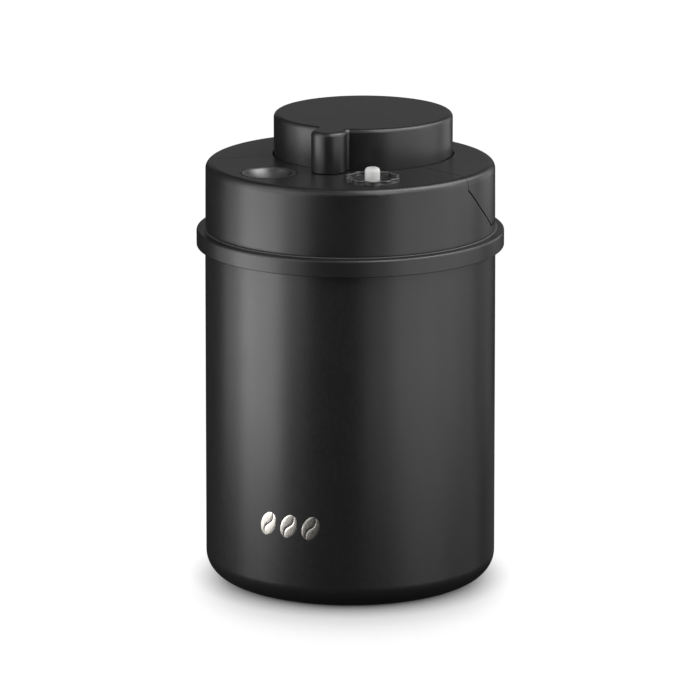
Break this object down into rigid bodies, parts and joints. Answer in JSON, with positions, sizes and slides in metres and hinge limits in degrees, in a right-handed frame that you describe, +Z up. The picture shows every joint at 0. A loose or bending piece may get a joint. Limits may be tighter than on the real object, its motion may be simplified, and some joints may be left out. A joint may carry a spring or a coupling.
{
  "type": "vacuum seal canister",
  "caption": "Round black steel food canister with a plug lid; an off-centre twist knob pumps air out, a dished button lets it in, a white pin shows vacuum.",
  "frame": {"origin": "middle of the base, on the surface it stands on", "axes": "+Z up through the mouth, -Y to the front where the knob's finger bump points, +X to the right seen from the front"},
  "size_m": [0.124, 0.124, 0.1884],
  "materials": {
    "coated_steel": "satin black coating with a fine metallic grain",
    "lid_plastic": "satin black moulded plastic",
    "chassis_plastic": "dark grey moulded plastic",
    "silicone": "matt grey silicone",
    "collar_rubber": "satin black rubber",
    "acetal": "natural white acetal",
    "bronze": "sintered bronze",
    "steel": "bright steel",
    "white_plastic": "satin white plastic"
  },
  "bodies": {
    "canister": {"canister_body": "coated_steel", "base_pad": "silicone", "collar_ring": "lid_plastic"},
    "lid": {"lid_chassis": "chassis_plastic", "lid_gasket": "silicone", "front_cover": "lid_plastic", "rear_cover": "lid_plastic", "bearing_deck": "chassis_plastic", "upper_bush": "bronze", "lower_bush": "bronze", "pump_cylinder": "chassis_plastic", "rack_guide": "chassis_plastic", "inlet_valve": "silicone", "filter_ring": "chassis_plastic", "filter_screen": "steel", "indicator_collar": "collar_rubber", "button_spring": "steel", "indicator_spring": "steel", "cover_screws": "steel", "deck_screws": "steel", "base_screws": "steel"},
    "knob": {"twist_knob": "lid_plastic", "drive_shaft": "steel", "pinion_gear": "acetal", "shaft_pin": "steel", "retaining_clip": "steel"},
    "pump_piston": {"gear_rack": "acetal", "piston": "acetal", "piston_cup_seal": "silicone", "piston_screw": "steel"},
    "release": {"release_button": "lid_plastic", "valve_stem": "acetal", "valve_poppet": "silicone"},
    "indicator": {"indicator_pin": "white_plastic", "indicator_piston": "chassis_plastic", "indicator_oring": "silicone"}
  },
  "joints": [
    {"name": "lid_lift", "type": "slide", "parent": "canister", "child": "lid", "axis": [0, 0, 1], "range_m": [0, 0.12]},
    {"name": "knob_twist", "type": "hinge", "parent": "lid", "child": "knob", "pos_m": [0, 0.01575, 0.175], "axis": [0, 0, 1], "range_deg": [-120, 0]},
    {"name": "piston_stroke", "type": "slide", "parent": "lid", "child": "pump_piston", "axis": [1, 0, 0], "range_m": [-0.0208, 0]},
    {"name": "button_press", "type": "slide", "parent": "lid", "child": "release", "axis": [0, 0, 1], "range_m": [-0.0025, 0], "stiffness_N_per_m": 1200, "springref_m": 0.002, "deforming": ["button_spring"]},
    {"name": "indicator_drop", "type": "slide", "parent": "lid", "child": "indicator", "axis": [0, 0, 1], "range_m": [-0.004, 0], "stiffness_N_per_m": 200, "springref_m": 0.004, "deforming": ["indicator_spring"]}
  ],
  "couplings": [
    {"joint": "piston_stroke", "follows": "knob_twist", "m_per_rad": 0.0099}
  ]
}
